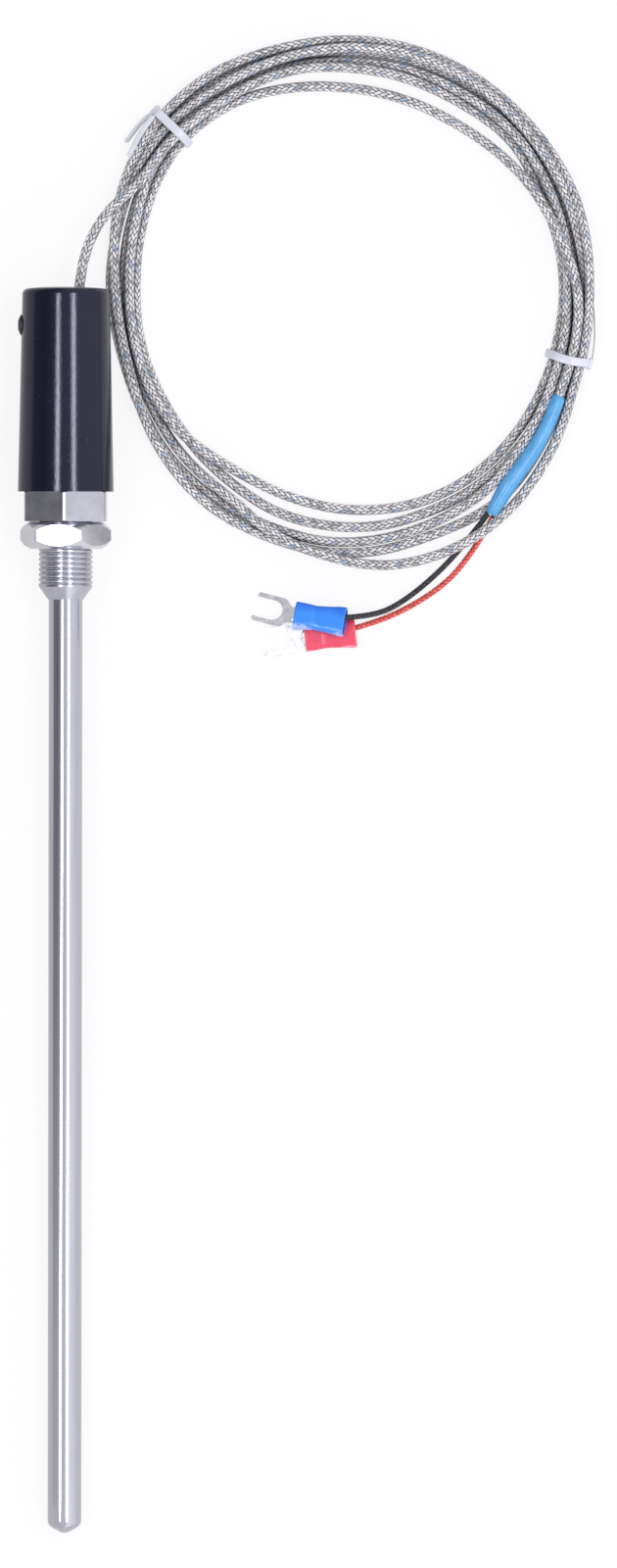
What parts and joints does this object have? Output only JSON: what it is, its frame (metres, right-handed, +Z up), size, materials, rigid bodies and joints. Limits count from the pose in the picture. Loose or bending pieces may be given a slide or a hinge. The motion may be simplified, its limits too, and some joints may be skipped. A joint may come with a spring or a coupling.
{
  "type": "thermocouple probe",
  "caption": "Stainless thermocouple probe with a screwed hexagon fitting, lock nut, black handle and a coiled braided cable ending in fork terminals.",
  "frame": {"origin": "on the floor, under the middle of the probe without its cable", "axes": "+Y from the stem's tip to the handle, +Z up, +X towards the coiled cable"},
  "size_m": [0.1707, 0.4446, 0.0289],
  "materials": {
    "stainless_brushed": "fine lengthwise brushing",
    "stainless_turned": "turned and milled, satin",
    "black_plastic": "moulded, glossy",
    "blackened_steel": "black oxide",
    "brass": "turned",
    "junction_alloy": "welded bead",
    "cement": "matt cement",
    "ceramic": "unglazed",
    "wire_alloy": "drawn wire",
    "splice_metal": "tinned crimp",
    "clear_sleeve": "shrunk sleeve",
    "core_insulation_red": "glass fibre braid",
    "core_insulation_black": "glass fibre braid",
    "cable_braid": "fine steel wire braid over glass fibre, blue-green tracer",
    "shrink_blue": "shrunk sleeve",
    "white_tie": "soft plastic band",
    "sleeve_blue": "translucent",
    "sleeve_red": "translucent",
    "tinned_metal": "tin plated"
  },
  "bodies": {
    "probe": {"sheath_tube": "stainless_brushed", "tip_plug": "stainless_brushed", "threaded_fitting": "stainless_turned", "handle": "black_plastic", "screw_insert": "brass", "hot_junction": "junction_alloy", "cement_seal": "cement", "insulator_01": "ceramic", "insulator_02": "ceramic", "insulator_03": "ceramic", "insulator_04": "ceramic", "insulator_05": "ceramic", "insulator_06": "ceramic", "insulator_07": "ceramic", "insulator_08": "ceramic", "insulator_09": "ceramic", "insulator_10": "ceramic", "wire_positive": "wire_alloy", "wire_negative": "wire_alloy", "splice_positive": "splice_metal", "splice_negative": "splice_metal", "splice_sleeve_positive": "clear_sleeve", "splice_sleeve_negative": "clear_sleeve", "core_positive": "core_insulation_red", "core_negative": "core_insulation_black", "cable_lead": "cable_braid", "cable_coil": "cable_braid", "cable_tail": "cable_braid", "shrink_sleeve": "shrink_blue", "tie_upper": "white_tie", "tie_right": "white_tie", "lead_black": "core_insulation_black", "lead_red": "core_insulation_red", "terminal_sleeve_blue": "sleeve_blue", "terminal_sleeve_red": "sleeve_red", "fork_terminal_black": "tinned_metal", "fork_terminal_red": "tinned_metal"},
    "lock_nut": {"lock_nut": "stainless_turned"},
    "clamp_screw": {"clamp_screw": "blackened_steel"}
  },
  "joints": [
    {"name": "lock_nut_travel", "type": "slide", "parent": "probe", "child": "lock_nut", "axis": [0, -0.9995, -0.0301], "range_m": [0, 0.0112]},
    {"name": "clamp_screw_travel", "type": "slide", "parent": "probe", "child": "clamp_screw", "axis": [-1, 0, 0], "range_m": [0, 0.003]}
  ]
}
